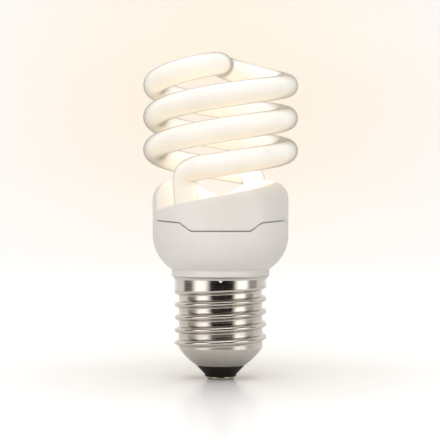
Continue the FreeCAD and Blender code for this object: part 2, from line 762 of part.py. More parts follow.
def drive_windings():
    """Three windings of a few turns round the ring."""
    middle = (RING_OUTER + RING_INNER) / 2
    width = RING_OUTER - RING_INNER + 2 * RING_SLACK
    height = RING_HEIGHT + 2 * RING_SLACK
    loops = []
    for start, turns in ((20, 3), (140, 3), (260, 2)):
        for i in range(turns):
            loop = box(middle, 0, 0, width + 2 * RING_WIRE, RING_WIRE, height + 2 * RING_WIRE)
            loop = loop.cut(box(middle, 0, RING_WIRE, width, RING_WIRE * 2, height))
            loop.rotate(FOOT, UP, start + 24 * i)
            loop.translate(V(RING_X, RING_Y, RING_TOP - RING_HEIGHT - RING_SLACK - RING_WIRE))
            loops.append(loop)
    return Part.makeCompound(loops)


# Pins and leads
PIN_RADIUS = BOARD_RADIUS - PIN_INSET
PIN_SPREAD = 33.0
PIN_TOP = BOARD_TOP + 2.6
PIN_SPOTS = []
for half in (0, 180):
    for side in (-PIN_SPREAD, PIN_SPREAD):
        PIN_SPOTS.append(polar(PIN_RADIUS, LEG_ANGLE + half + side, 0))
FUSE_FOOT = 12.0
FUSE_LENGTH = 7.0
FUSE_DIA = 3.4


def wrap_pins():
    """Four square pins that the tube's wires are wrapped round."""
    height = PIN_TOP - BOARD_Z
    return Part.makeCompound([box(p.x, p.y, BOARD_Z, PIN_SIDE, PIN_SIDE, height) for p in PIN_SPOTS])


def tube_leads():
    """Two wires from each end of the tube, each with a ring round its pin."""
    foot = socket_floor() - LEG_DEPTH
    level = BOARD_TOP + 1.6
    solids = []
    for i, pin in enumerate(PIN_SPOTS):
        leg = polar(LEG_RADIUS, LEG_ANGLE + 180 * (i // 2), 0)
        toward = pin - leg
        toward.normalize()
        spot = leg + toward * (TUBE_RADIUS * 0.5)
        stop = pin - toward * (PIN_SIDE * 0.85)
        run = wire([spot + UP * foot, spot + UP * level, stop + UP * level], LEAD_DIA)
        side = PIN_SIDE + 2 * LEAD_DIA
        loop = box(pin.x, pin.y, level - LEAD_DIA / 2, side, side, LEAD_DIA)
        loop = loop.makeFillet(LEAD_DIA / 2, edges_along(loop, UP))
        hole = box(pin.x, pin.y, level - LEAD_DIA, PIN_SIDE, PIN_SIDE, LEAD_DIA * 2)
        solids.append(joined([run, loop]).cut(hole))
    return Part.makeCompound(solids)


def live_lead():
    """Wire from the board to the fuse resistor, and on to the contact's shank."""
    start = spot(0.075, 0.34)
    x, y = start.x, start.y
    HOLES.append((x, y))
    bend = FUSE_FOOT + FUSE_LENGTH + 4
    way = [V(x, y, BOARD_TOP + LEAD_DIA), V(x, y, bend + 4), V(0, 0, bend), V(0, 0, FUSE_FOOT + FUSE_LENGTH)]
    upper = wire(way, LEAD_DIA)
    lower = rod(V(0, 0, CONTACT_HEIGHT + SHANK_LENGTH), V(0, 0, FUSE_FOOT), LEAD_DIA / 2)
    return Part.makeCompound([upper, lower])


def fuse_resistor():
    """Fusible resistor in the live lead, inside the cap."""
    body = Part.makeCylinder(FUSE_DIA / 2, FUSE_LENGTH, V(0, 0, FUSE_FOOT))
    return body.makeFillet(FUSE_DIA / 8, [body.Edges[0], body.Edges[2]])


def neutral_lead():
    """Wire from the board to the inside of the screw shell."""
    start = spot(-0.1, 0.35)
    x, y = start.x, start.y
    HOLES.append((x, y))
    low = NECK_Z - PLUG_LENGTH - 2
    angle = math.degrees(math.atan2(y, x))
    inside = thread_radius(angle / 360, low) - shell_wall()
    end = polar(inside - LEAD_DIA / 2, angle, low)
    return wire([V(x, y, BOARD_TOP + LEAD_DIA), V(x, y, low + 2), end], LEAD_DIA)


def circuit_board():
    """Round board with a hole for each lead and pin."""
    disc = Part.makeCylinder(BOARD_RADIUS, BOARD_THICKNESS, V(0, 0, BOARD_Z))
    cuts = [Part.makeCylinder(LEAD_HOLE_DIA / 2, BOARD_THICKNESS, V(x, y, BOARD_Z)) for x, y in HOLES]
    cuts += [box(p.x, p.y, BOARD_Z, PIN_SIDE, PIN_SIDE, BOARD_THICKNESS) for p in PIN_SPOTS]
    return disc.cut(cuts)


# The board is made last, when every lead has noted its hole
MAKERS = (spiral_tube, upper_cover, lower_housing, screw_shell, cap_insulator, centre_contact, tube_cement,
          bulk_capacitor, resonant_capacitor, blocking_capacitor, choke_core, choke_bobbin, choke_winding,
          drive_ring, drive_windings, transistors, rectifier_diodes, resistors, trigger_diac, wrap_pins,
          tube_leads, live_lead, fuse_resistor, neutral_lead, circuit_board)

os.makedirs("parts", exist_ok=True)
for make in MAKERS:
    shape = make()
    print(make.__name__, shape.isValid(), len(shape.Solids), round(shape.Volume, 1))
    shape.exportStep("parts/" + make.__name__ + ".step")
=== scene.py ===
# %% [markdown]
# # A spiral energy saving lamp, lit, on a pale table
# The lamp's solids come from the CAD model, already in place and at their real size, in metres. Loading
# them first gives a fixed frame: every finish, light and new piece is fitted to it, and nothing in it
# moves.

# %% Load the lamp's frame
import bpy
import bmesh
import math
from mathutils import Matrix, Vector


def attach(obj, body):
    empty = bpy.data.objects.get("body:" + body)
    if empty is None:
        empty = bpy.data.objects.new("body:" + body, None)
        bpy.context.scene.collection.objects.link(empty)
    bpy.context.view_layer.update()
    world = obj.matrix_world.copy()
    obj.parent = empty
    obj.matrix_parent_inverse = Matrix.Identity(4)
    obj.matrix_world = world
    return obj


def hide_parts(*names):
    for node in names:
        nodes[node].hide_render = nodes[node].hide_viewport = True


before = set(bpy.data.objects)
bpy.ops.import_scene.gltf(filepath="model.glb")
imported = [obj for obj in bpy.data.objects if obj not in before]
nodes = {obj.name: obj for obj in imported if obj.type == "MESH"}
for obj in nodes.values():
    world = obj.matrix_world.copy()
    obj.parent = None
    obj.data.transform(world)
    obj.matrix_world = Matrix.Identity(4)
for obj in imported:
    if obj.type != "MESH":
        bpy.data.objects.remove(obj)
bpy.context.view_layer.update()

scene = bpy.context.scene
scene.view_settings.view_transform = "Standard"

# %% [markdown]
# ## The camera
# The picture is taken level, from the front, with a long lens, so upright edges stay upright. A lens
# length can be found by trial, but it also follows from two sizes that are easy to measure: how far off
# the camera stands, and how wide a strip of the world it sees at the lamp.

# %% Place the camera
CAMERA_DISTANCE = 0.40
CAMERA_HEIGHT = 0.0455
CAMERA_SIDE = -0.00015
VIEW_WIDTH = 0.126
NEAR_CLIP = 0.01

camera_data = bpy.data.cameras.new("front_camera")
camera_data.lens = camera_data.sensor_width * CAMERA_DISTANCE / VIEW_WIDTH
camera_data.clip_start = NEAR_CLIP
camera = bpy.data.objects.new("front_camera", camera_data)
camera.location = (CAMERA_SIDE, -CAMERA_DISTANCE, CAMERA_HEIGHT)
camera.rotation_euler = (math.pi / 2, 0, 0)
scene.collection.objects.link(camera)
scene.camera = camera
print("lens", round(camera_data.lens, 1), "mm")

# %% [markdown]
# ## Small helpers for shader nodes
# A material is a little network: nodes make values, links carry them. Typing each node out takes many
# lines, so short helpers add a node, set its fields and link it. They keep each finish readable further
# down.


# %% Add and link nodes
def add(tree, kind, **inputs):
    """A new node in a tree, with input values set by name."""
    node = tree.nodes.new("ShaderNode" + kind)
    settle(node, **inputs)
    return node


def settle(node, **inputs):
    """Plain values on a node's own sockets."""
    for name, value in inputs.items():
        node.inputs[name.replace("_", " ")].default_value = value


def link(tree, source, target):
    """A link from an output socket to an input socket."""
    tree.links.new(source, target)


def new_material(name):
    """An empty node material with its Principled shader."""
    material = bpy.data.materials.new(name)
    material.use_nodes = True
    shader = material.node_tree.nodes["Principled BSDF"]
    return material, material.node_tree, shader


print("helpers", [helper.__name__ for helper in (add, settle, link, new_material)])

# %% [markdown]
# ## Helpers that do sums in a shader
# Most patterns come down to a few sums: stretch a value to another range, multiply two values, mix two
# colours. Colours are easiest to read off a picture, but shaders count light in a straight line, so one
# helper converts them.


# %% Sums and colours
def ramp(tree, source, low, high, to_low=0.0, to_high=1.0):
    """A value mapped from one range to another, clamped at both ends."""
    node = add(tree, "MapRange", From_Min=low, From_Max=high, To_Min=to_low, To_Max=to_high)
    link(tree, source, node.inputs["Value"])
    return node.outputs["Result"]


def combine(tree, operation, first, second):
    """Two value sockets put together by one of the Math node's operations."""
    node = add(tree, "Math")
    node.operation = operation
    link(tree, first, node.inputs[0])
    link(tree, second, node.inputs[1])
    return node.outputs["Value"]


def length(tree, vector):
    """How long a vector socket is."""
    node = add(tree, "VectorMath")
    node.operation = "LENGTH"
    link(tree, vector, node.inputs[0])
    return node.outputs["Value"]


def split(tree, vector):
    """The X, Y and Z sockets of a vector socket."""
    node = add(tree, "SeparateXYZ")
    link(tree, vector, node.inputs["Vector"])
    return node.outputs


def blend(tree, factor, first, second):
    """Two colours, each a value or a socket, mixed by a factor socket."""
    node = add(tree, "Mix")
    node.data_type = "RGBA"
    link(tree, factor, node.inputs["Factor"])
    for name, value in (("A", first), ("B", second)):
        socket = next(s for s in node.inputs if s.name == name and s.type == "RGBA")
        if isinstance(value, bpy.types.NodeSocket):
            link(tree, value, socket)
        else:
            socket.default_value = value
    return next(s for s in node.outputs if s.type == "RGBA")


def bump(tree, shader, height, depth, base=None):
    """A height pattern, in metres deep, as a normal on the shader, over a base normal if there is one."""
    node = add(tree, "Bump", Strength=1.0, Distance=depth)
    link(tree, height, node.inputs["Height"])
    if base:
        link(tree, base, node.inputs["Normal"])
    link(tree, node.outputs["Normal"], shader.inputs["Normal"])


def colour(red, green, blue):
    """A colour as a picture shows it, 0 to 255, as the linear values that shaders use."""
    def linear(value):
        value = value / 255
        return value / 12.92 if value <= 0.04045 else ((value + 0.055) / 1.055) ** 2.4
    return linear(red), linear(green), linear(blue), 1.0


print("a picture's 128 is", round(colour(128, 128, 128)[0], 3), "in a shader")

# %% [markdown]
# ## Patterns that several finishes share
# Moulded plastic, plated metal and glass are all a little uneven: cloudy in colour, patchy in gloss,
# grained to touch. One node group with sockets for its sizes gives each of them that unevenness at its
# own scale.


# %% The uneven surface group
def uneven_group():
    """Group with a broad cloud and a fine grain, each from 0 to 1."""
    group = bpy.data.node_groups.new("uneven_surface", "ShaderNodeTree")
    for name in ("Cloud", "Grain"):
        group.interface.new_socket(name + " Scale", in_out="INPUT", socket_type="NodeSocketFloat")
        group.interface.new_socket(name, in_out="OUTPUT", socket_type="NodeSocketFloat")
    inside = group.nodes.new("NodeGroupInput")
    outside = group.nodes.new("NodeGroupOutput")
    place = add(group, "TexCoord").outputs["Object"]
    cloud = add(group, "TexNoise", Detail=3.0, Roughness=0.55)
    grain = add(group, "TexNoise", Detail=2.0, Roughness=0.6)
    for texture, name in ((cloud, "Cloud Scale"), (grain, "Grain Scale")):
        link(group, place, texture.inputs["Vector"])
        link(group, inside.outputs[name], texture.inputs["Scale"])
    link(group, ramp(group, cloud.outputs["Fac"], 0.3, 0.7), outside.inputs["Cloud"])
    link(group, ramp(group, grain.outputs["Fac"], 0.25, 0.75), outside.inputs["Grain"])
    return group


UNEVEN = uneven_group()


def uneven(tree, cloud, grain=3000.0):
    """The uneven surface group placed in a material, with its scales in patches to a metre."""
    node = add(tree, "Group")
    node.node_tree = UNEVEN
    settle(node, Cloud_Scale=cloud, Grain_Scale=grain)
    return node.outputs


print("group", UNEVEN.name, "with", len(UNEVEN.nodes), "nodes")

# %% [markdown]
# ## The lit glass
# The tube is clear glass with a white powder inside that glows. Lit, it is nearly white on top and
# creamier below, where less of the studio's light falls, and the clear wall shows as a thin grey line along
# every edge. A plain bright emitter would lose the round form, so shade is painted into the glow: its
# colour is painted creamier where the surface faces down, and Layer Weight, which finds the edge of glass
# from any side, paints a grey shade into the glow and the powder where only the wall is seen. A picture
# can't show how bright a lamp is, so the tube casts more light on its neighbours than the camera sees.

# %% Lit glass
GLOW_TOP = colour(255, 253, 247)
# Painted shade: the glow's colour where the surface faces down.
GLOW_PAINTED_SHADE_UNDER = colour(252, 233, 204)
GLOW_SEEN = 0.64
GLOW_CAST = 1.15
# Painted shade: the darker glow and powder colours of the grey line along the tube's edges.
GLOW_PAINTED_EDGE_SHADE = colour(146, 134, 116)
POWDER_PAINTED_EDGE_SHADE = colour(98, 90, 80)
POWDER_THIN = colour(150, 145, 136)
POWDER_THICK = colour(164, 160, 152)


def lit_glass():
    """Glowing powder behind a clear wall, with painted shade below and a painted grey line at the edges."""
    material, tree, shader = new_material("lit_glass")
    marks = uneven(tree, cloud=90.0)
    facing_up = split(tree, add(tree, "NewGeometry").outputs["Normal"])["Z"]
    # Painted shade: the glow turns creamier and darker where the surface faces down.
    glow = blend(tree, ramp(tree, facing_up, -0.85, 0.35), GLOW_PAINTED_SHADE_UNDER, GLOW_TOP)
    # Painted shade: the clear wall is real, and the grey line that darkens glow and powder along the edges
    # is painted.
    edge = ramp(tree, add(tree, "LayerWeight", Blend=0.5).outputs["Facing"], 0.45, 0.86)
    wall = combine(tree, "MULTIPLY", edge, edge)
    link(tree, blend(tree, wall, glow, GLOW_PAINTED_EDGE_SHADE), shader.inputs["Emission Color"])
    powder = blend(tree, marks["Cloud"], POWDER_THIN, POWDER_THICK)
    link(tree, blend(tree, wall, powder, POWDER_PAINTED_EDGE_SHADE), shader.inputs["Base Color"])
    link(tree, ramp(tree, marks["Cloud"], 0, 1, 0.25, 0.35), shader.inputs["Roughness"])
    path = add(tree, "LightPath")
    strength = ramp(tree, path.outputs["Is Diffuse Ray"], 0, 1, GLOW_SEEN, GLOW_CAST)
    link(tree, strength, shader.inputs["Emission Strength"])
    settle(shader, Specular_IOR_Level=0.15)
    bump(tree, shader, marks["Cloud"], depth=0.00002)
    return material


FINISHES = {"lit_glass": lit_glass()}
print("made", list(FINISHES))

# %% [markdown]
# ## The moulded plastic
# Cover and housing are moulded in a warm white plastic with a satin skin, spark-eroded into the mould. A
# faint colour cloud, a fine grain and a little light inside the wall keep it from looking like paint. No
# moulded edge is quite sharp. A Bevel modifier would change the solids' faces, so a Bevel node rounds the
# edges in the shading alone.

# %% Moulded plastic
EDGE_ROUNDING = 0.0006


def white_plastic(name, tone, shade, gloss):
    """Satin plastic with softened edges."""
    material, tree, shader = new_material(name)
    marks = uneven(tree, cloud=55.0, grain=5200.0)
    link(tree, blend(tree, marks["Cloud"], shade, tone), shader.inputs["Base Color"])
    link(tree, ramp(tree, marks["Grain"], 0, 1, gloss, gloss + 0.12), shader.inputs["Roughness"])
    settle(shader, Subsurface_Weight=0.35, Subsurface_Scale=0.0022, Subsurface_Radius=(1.0, 0.95, 0.9))
    rounded = add(tree, "Bevel", Radius=EDGE_ROUNDING)
    rounded.samples = 6
    bump(tree, shader, marks["Grain"], depth=0.000006, base=rounded.outputs["Normal"])
    return material


PLASTICS = {
    "cover_plastic": (colour(232, 226, 220), colour(228, 221, 214), 0.32),
    "housing_plastic": (colour(231, 225, 220), colour(226, 219, 213), 0.34),
}
for name, (tone, shade, gloss) in PLASTICS.items():
    FINISHES[name] = white_plastic(name, tone, shade, gloss)
print("made", list(PLASTICS))

# %% [markdown]
# ## Metals
# The screw shell is rolled from nickel-plated brass sheet. Rolling leaves fine rings round the cap, and
# the plating is a little cloudy. The rings are one noise, stretched round the axis and packed along it,
# and they also draw each highlight out sideways. The contact and the pins are the same kind of finish
# with other tones.

# %% Plated metal
RINGS_ACROSS = 40.0


def plated_metal(name, tone, shade, gloss, rings_along):
    """Rolled and plated metal, with so many rings to a metre along the axis."""
    material, tree, shader = new_material(name)
    marks = uneven(tree, cloud=70.0)
    stretch = add(tree, "Mapping", Scale=(RINGS_ACROSS, RINGS_ACROSS, rings_along))
    link(tree, add(tree, "TexCoord").outputs["Object"], stretch.inputs["Vector"])
    noise = add(tree, "TexNoise", Scale=1.0, Detail=2.0)
    link(tree, stretch.outputs["Vector"], noise.inputs["Vector"])
    rings = noise.outputs["Fac"]
    link(tree, blend(tree, marks["Cloud"], shade, tone), shader.inputs["Base Color"])
    link(tree, ramp(tree, rings, 0.3, 0.7, gloss, gloss + 0.1), shader.inputs["Roughness"])
    settle(shader, Metallic=1.0, Anisotropic=0.3, Anisotropic_Rotation=0.25)
    around = add(tree, "Tangent")
    around.direction_type = "RADIAL"
    around.axis = "Z"
    link(tree, around.outputs["Tangent"], shader.inputs["Tangent"])
    bump(tree, shader, rings, depth=0.000002)
    return material


METALS = {
    "cap_metal": (colour(210, 204, 196), colour(200, 193, 184), 0.09, 5200.0),
    "contact_metal": (colour(200, 190, 172), colour(178, 166, 146), 0.2, 900.0),
    "pin_metal": (colour(205, 204, 200), colour(182, 180, 174), 0.25, 3000.0),
}
for name, (tone, shade, gloss, rings_along) in METALS.items():
    FINISHES[name] = plated_metal(name, tone, shade, gloss, rings_along)
print("made", list(METALS))


# %% [markdown]
# ## Dark and coated finishes
# The insulator is black glass, the small parts inside are dipped, dyed or wound. They share one recipe: a
# cloudy base colour, a patchy gloss and a shallow grain, each with its own numbers.


# %% Coated finishes
def coated(name, tone, shade, gloss, grain=3000.0, depth=0.000008, coat=0.0, shine=0.5):
    """A dipped, dyed or glazed surface."""
    material, tree, shader = new_material(name)
    marks = uneven(tree, cloud=120.0, grain=grain)
    link(tree, blend(tree, marks["Cloud"], shade, tone), shader.inputs["Base Color"])
    link(tree, ramp(tree, marks["Grain"], 0, 1, gloss, gloss + 0.15), shader.inputs["Roughness"])
    settle(shader, Coat_Weight=coat, Coat_Roughness=0.05, Specular_IOR_Level=shine)
    bump(tree, shader, marks["Grain"], depth)
    return material


COATINGS = {
    "black_glass": (colour(30, 26, 23), colour(20, 17, 15), 0.25, {"shine": 0.15}),
    "cement": (colour(226, 221, 208), colour(206, 200, 186), 0.75, {"grain": 1800.0, "depth": 0.00004}),
    "board": (colour(190, 152, 96), colour(172, 132, 78), 0.5, {}),
    "capacitor_sleeve": (colour(34, 38, 52), colour(24, 27, 38), 0.3, {"coat": 0.3}),
    "film_coat": (colour(146, 42, 30), colour(122, 32, 24), 0.25, {"coat": 0.4}),
    "ferrite": (colour(62, 60, 60), colour(46, 45, 45), 0.55, {"depth": 0.00002}),
    "bobbin_plastic": (colour(44, 42, 40), colour(32, 31, 30), 0.4, {}),
    "copper_wire": (colour(176, 94, 42), colour(140, 66, 26), 0.25, {"coat": 0.6}),
    "black_plastic": (colour(36, 36, 37), colour(27, 27, 28), 0.45, {}),
    "resistor_coat": (colour(196, 168, 120), colour(180, 150, 102), 0.4, {}),
    "diac_glass": (colour(58, 84, 128), colour(44, 66, 104), 0.15, {"coat": 0.7}),
    "lead_sleeve": (colour(224, 214, 190), colour(206, 194, 168), 0.5, {}),
}
for name, (tone, shade, gloss, extras) in COATINGS.items():
    FINISHES[name] = coated(name, tone, shade, gloss, **extras)
print("made", list(COATINGS))

# %% [markdown]
# ## Giving each solid its finish
# Each CAD solid arrives with one named material slot. The finish of that name goes into the slot, so a
# finish that several solids share is made once, and a change to it shows on all of them.

# %% Finish every slot
for node in nodes.values():
    for holder in node.material_slots:
        holder.material = FINISHES[holder.material.name.split(".")[0]]
print("finished", len(nodes), "solids with", len(FINISHES), "finishes")

# %% [markdown]
# ## The rolled screw shell
# The cap is drawn from thin sheet and its thread is rolled into it, so each ridge is a round bead on a
# plain tube, and the first and last turns fade away. A thread can be swept along a helix, but its fading
# ends are hard to close. Here one profile is spun round the axis into plain rings, and the rings' points
# then move out where the bead passes. The sizes follow the CAD shell, in millimetres, with a rounder
# bead.

# %% Sizes of the screw shell
MM = 0.001
SHELL_FOOT = 4.05
THREAD_FOOT = 9.05
COLLAR_FOOT = 28.05
COLLAR_RIM = 29.45
MOUTH_RADIUS = 7.05
ROOT_RADIUS = 12.0
CREST_RADIUS = 13.25
SHEET = 0.3
DOME_BULGE = 0.35
FLARE_HEIGHT = 0.8
FLARE_WIDTH = 0.6
THREAD_PITCH = 25.4 / 7
print("thread", round((COLLAR_FOOT - THREAD_FOOT) / THREAD_PITCH, 2), "turns long")

# %% [markdown]
# ## The bead
# A point on the plain tube is so many pitches above the bead's middle. The part after the whole number
# says whether it lies on the bead, and the whole number says on which turn, so one sum serves every turn
# of the helix. Above the last turn the tube stays at the crest's width, which joins the thread to the
# collar.

# %% Height of the bead
BEAD_WIDTH = 2.0
BEAD_ROUNDNESS = 0.75
BEAD_START = 0.12
BEAD_TURNS = 4.05
FADE_TURNS = 0.35
END_FADE = THREAD_PITCH / 3


def smooth_step(share):
    """From 0 to 1 with no corner at either end."""
    share = min(1.0, max(0.0, share))
    return share * share * (3 - 2 * share)


def bead(turn, z):
    """How much of the thread's ridge stands at a turn, 0 to 1, and a height."""
    level = (z - THREAD_FOOT) / THREAD_PITCH + BEAD_START - turn
    away = abs(level - round(level)) * THREAD_PITCH * 2 / BEAD_WIDTH
    ridge = max(0.0, 1 - away * away) ** BEAD_ROUNDNESS
    starts = smooth_step((turn + round(level)) / FADE_TURNS)
    ends = smooth_step((turn + math.floor(level) - BEAD_TURNS) / FADE_TURNS)
    below_collar = smooth_step((COLLAR_FOOT - z) / END_FADE)
    ridge = 1 - (1 - ridge) * (1 - ends) * below_collar
    return ridge * starts * smooth_step((z - THREAD_FOOT) / END_FADE)


middle = (THREAD_FOOT + COLLAR_FOOT) / 2
print("bead up one pitch", [round(bead(0.5, middle + THREAD_PITCH * i / 8), 2) for i in range(9)])

# %% [markdown]
# ## The sheet's profile
# Seen cut in half, the shell is one thin line: a bulging dome, a straight tube, and a collar that flares
# at its rim. A Solidify modifier could thicken it, but it leaves a square rim that shades badly. So the
# profile goes up the outside, over a rounded rim and down the inside, and the spun shell is closed from
# the start.

# %% Profile of the sheet
DOME_ROWS = 12
THREAD_ROWS = 150
COLLAR_ROWS = 10
RIM_ROUNDING = SHEET * 0.2


def shell_side():
    """Radius and height up the outside of the sheet, from the mouth to the rim, in millimetres."""
    run = ROOT_RADIUS - MOUTH_RADIUS
    rise = THREAD_FOOT - SHELL_FOOT
    slant = math.hypot(run, rise)
    steps = []
    for i in range(DOME_ROWS):
        share = i / DOME_ROWS
        out = DOME_BULGE * 4 * share * (1 - share) / slant
        steps.append((MOUTH_RADIUS + run * share + rise * out, SHELL_FOOT + rise * share - run * out))
    for i in range(THREAD_ROWS):
        steps.append((ROOT_RADIUS, THREAD_FOOT + (COLLAR_FOOT - THREAD_FOOT) * i / THREAD_ROWS))
    for i in range(COLLAR_ROWS + 1):
        z = COLLAR_FOOT + (COLLAR_RIM - COLLAR_FOOT) * i / COLLAR_ROWS
        flare = max(0.0, (z - COLLAR_RIM) / FLARE_HEIGHT + 1)
        steps.append((CREST_RADIUS + FLARE_WIDTH * flare ** 2, z))
    return steps


def shell_profile():
    """The outside, a rounded rim, and the inside back down to the mouth."""
    outside = shell_side()
    rim_radius, rim = outside[-1]
    top = rim + RIM_ROUNDING
    over = [(rim_radius - RIM_ROUNDING, top), (rim_radius - SHEET + RIM_ROUNDING, top)]
    inside = [(radius - SHEET, z) for radius, z in reversed(outside)]
    return outside + over + inside


print("profile of", len(shell_profile()), "points")

# %% [markdown]
# ## The stake marks
# Four small three-sided dents in the collar hold the shell to the plastic neck. They could be cut by a
# boolean, but a pressed sheet has no cut edge. A sum gives each point's depth instead, deepest just under
# the flare.

# %% Stake marks
STAKE_COUNT = 4
STAKE_WIDTH = 1.3
STAKE_DEPTH = 0.3
STAKE_REACH = 1.02


def stake_dent(turn, z):
    """Depth of the stake marks at a turn and a height, in millimetres."""
    around = abs((turn * STAKE_COUNT + 0.5) % 1 - 0.5) / STAKE_COUNT
    across = around * 2 * math.pi * CREST_RADIUS
    share = (z - (COLLAR_RIM - FLARE_HEIGHT)) / STAKE_WIDTH + 1
    if not 0 < share <= STAKE_REACH:
        return 0.0
    return STAKE_DEPTH * share * max(0.0, 1 - across / (STAKE_WIDTH / 2 * share))


print("deepest dent", round(stake_dent(0, COLLAR_RIM - FLARE_HEIGHT), 2), "mm")

# %% [markdown]
# ## Spinning and rolling
# The profile is spun round the axis, as sheet is spun on a lathe, and then the bead is rolled into it.
# The rings are level and the bead climbs, so it steps from ring to ring. A few smoothing passes, sideways
# only, take the steps away and run the bead's foot into the tube. Faces are shaded smooth, and edges
# above an angle are kept sharp.

# %% Screw shell
SPIN_STEPS = 240
MERGE_DISTANCE = 0.000001
ROLL_PASSES = 3
ROLL_STRENGTH = 0.4
SHARP_ANGLE = math.radians(40)
ROW_SLACK = 0.001


def spun_shell():
    """The plain shell, before its thread is rolled."""
    mesh = bmesh.new()
    rows = [mesh.verts.new((radius * MM, 0, z * MM)) for radius, z in shell_profile()]
    line = [mesh.edges.new(pair) for pair in zip(rows, rows[1:] + rows[:1])]
    bmesh.ops.spin(mesh, geom=rows + line, cent=(0, 0, 0), axis=(0, 0, 1), angle=2 * math.pi,
                   steps=SPIN_STEPS, use_merge=True)
    bmesh.ops.remove_doubles(mesh, verts=mesh.verts, dist=MERGE_DISTANCE)
    return mesh


def roll_thread(mesh):
    """The bead and the stake marks, pressed into the plain shell."""
    threaded = []
    for vert in mesh.verts:
        turn = math.atan2(vert.co.y, vert.co.x) / (2 * math.pi) % 1
        z = vert.co.z / MM
        level = Vector((vert.co.x, vert.co.y, 0))
        radius = level.length / MM
        if THREAD_FOOT - ROW_SLACK <= z < COLLAR_FOOT - ROW_SLACK:
            radius += (CREST_RADIUS - ROOT_RADIUS) * bead(turn, z)
            threaded.append(vert)
        radius -= stake_dent(turn, z)
        vert.co = level.normalized() * radius * MM + Vector((0, 0, vert.co.z))
    for _ in range(ROLL_PASSES):
        bmesh.ops.smooth_vert(mesh, verts=threaded, factor=ROLL_STRENGTH, use_axis_x=True, use_axis_y=True)


def smooth_object(name, mesh):
    """An object with a bmesh's faces, outward and shaded smooth."""
    bmesh.ops.recalc_face_normals(mesh, faces=mesh.faces)
    for face in mesh.faces:
        face.smooth = True
    data = bpy.data.meshes.new(name)
    mesh.to_mesh(data)
    mesh.free()
    piece = bpy.data.objects.new(name, data)
    scene.collection.objects.link(piece)
    return piece


shell_mesh = spun_shell()
roll_thread(shell_mesh)
shell = smooth_object("screw_shell_rolled", shell_mesh)
shell.data.set_sharp_from_angle(angle=SHARP_ANGLE)
shell.data.materials.append(FINISHES["cap_metal"])
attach(shell, "root")
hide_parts("screw_shell")
print("shell of", len(shell.data.polygons), "faces")

# %% [markdown]
# ## The table and the sweep
# The lamp stands on pale card that curves up behind it, as in a small photo studio, so no corner shows. A
# plane and a wall would meet in a line. An edge pulled back along the table, spun through a quarter turn
# and pulled up makes the whole sheet in one piece.

# %% Sweep of card
CARD_FRONT = -0.125
CARD_BACK = 0.55
CARD_HALF_WIDTH = 0.4
CARD_BEND = 0.25
CARD_TOP = 1.2
BEND_STEPS = 24
CARD_MERGE = 0.00001


def of_kind(made, kind):
    """The vertices or edges among what an extrude or a spin gives back."""
    return [item for item in made if isinstance(item, kind)]


def pulled(mesh, edges, way):
    """What an edge leaves at its far end when it is pulled out into a face."""
    made = bmesh.ops.extrude_edge_only(mesh, edges=edges)["geom"]
    verts = of_kind(made, bmesh.types.BMVert)
    bmesh.ops.translate(mesh, verts=verts, vec=way)
    return of_kind(made, bmesh.types.BMEdge) + verts


def studio_card():
    """Table, bend and wall as one sheet."""
    mesh = bmesh.new()
    corners = [mesh.verts.new((x, CARD_FRONT, 0)) for x in (-CARD_HALF_WIDTH, CARD_HALF_WIDTH)]
    table = pulled(mesh, [mesh.edges.new(corners)], (0, CARD_BACK - CARD_FRONT, 0))
    bend = bmesh.ops.spin(mesh, geom=table, cent=(0, CARD_BACK, CARD_BEND), axis=(1, 0, 0),
                          angle=math.pi / 2, steps=BEND_STEPS)["geom_last"]
    pulled(mesh, of_kind(bend, bmesh.types.BMEdge), (0, 0, CARD_TOP))
    bmesh.ops.remove_doubles(mesh, verts=mesh.verts, dist=CARD_MERGE)
    return smooth_object("studio_card", mesh)


card = studio_card()
print("card", tuple(round(size, 2) for size in card.dimensions))

# %% [markdown]
# ## The card's finish
# The card is lit like everything else, so it takes the lamp's shadow. Raising the lamps until it is white
# would burn out the plastic. Instead it adds a little light of its own, only to what the camera and shiny
# things see of it, least of it under the lamp and most at the wall. Less of it round the lamp's foot
# leaves a painted shadow there on top of the real one. The lamp's warm glow is painted on to the wall
# behind it as painted light.

# %% Card finish
CARD_TONE = colour(230, 229, 228)
CARD_SHADE = colour(226, 225, 224)
CARD_WHITE = colour(255, 254, 252)
# Painted light: the colour of the lamp's warm glow on the wall behind it.
CARD_PAINTED_GLOW = colour(255, 230, 194)
GLOW_CENTRE = (0.0, CARD_BACK + CARD_BEND, 0.145)
GLOW_REACH = 0.26
GLOW_CORE = 0.04
WALL_FROM, WALL_TO = 0.1, 0.7
TABLE_LIGHT, WALL_LIGHT = 0.06, 0.365
MIRROR_FROM, MIRROR_TO = 0.1, 0.4
SHADOW_FROM, SHADOW_TO = 0.045, 0.13
# Painted shadow: the card adds this light only away from the lamp's foot.
LIGHT_PAST_PAINTED_SHADOW = 0.2


def own_light(tree, place):
    """How much light the card adds for the camera and for shiny things, less round the lamp as a painted
    shadow.
    """
    depth = split(tree, place)["Y"]
    path = add(tree, "LightPath")
    behind = ramp(tree, depth, MIRROR_FROM, MIRROR_TO)
    mirrored = combine(tree, "MULTIPLY", path.outputs["Is Glossy Ray"], behind)
    seen = combine(tree, "MAXIMUM", path.outputs["Is Camera Ray"], mirrored)
    far = ramp(tree, depth, WALL_FROM, WALL_TO, TABLE_LIGHT, WALL_LIGHT)
    # Painted shadow: less of the card's light near the lamp's axis darkens the table round its foot.
    clear = ramp(tree, length(tree, place), SHADOW_FROM, SHADOW_TO, 0.0, LIGHT_PAST_PAINTED_SHADOW)
    return combine(tree, "MULTIPLY", seen, combine(tree, "ADD", far, clear))


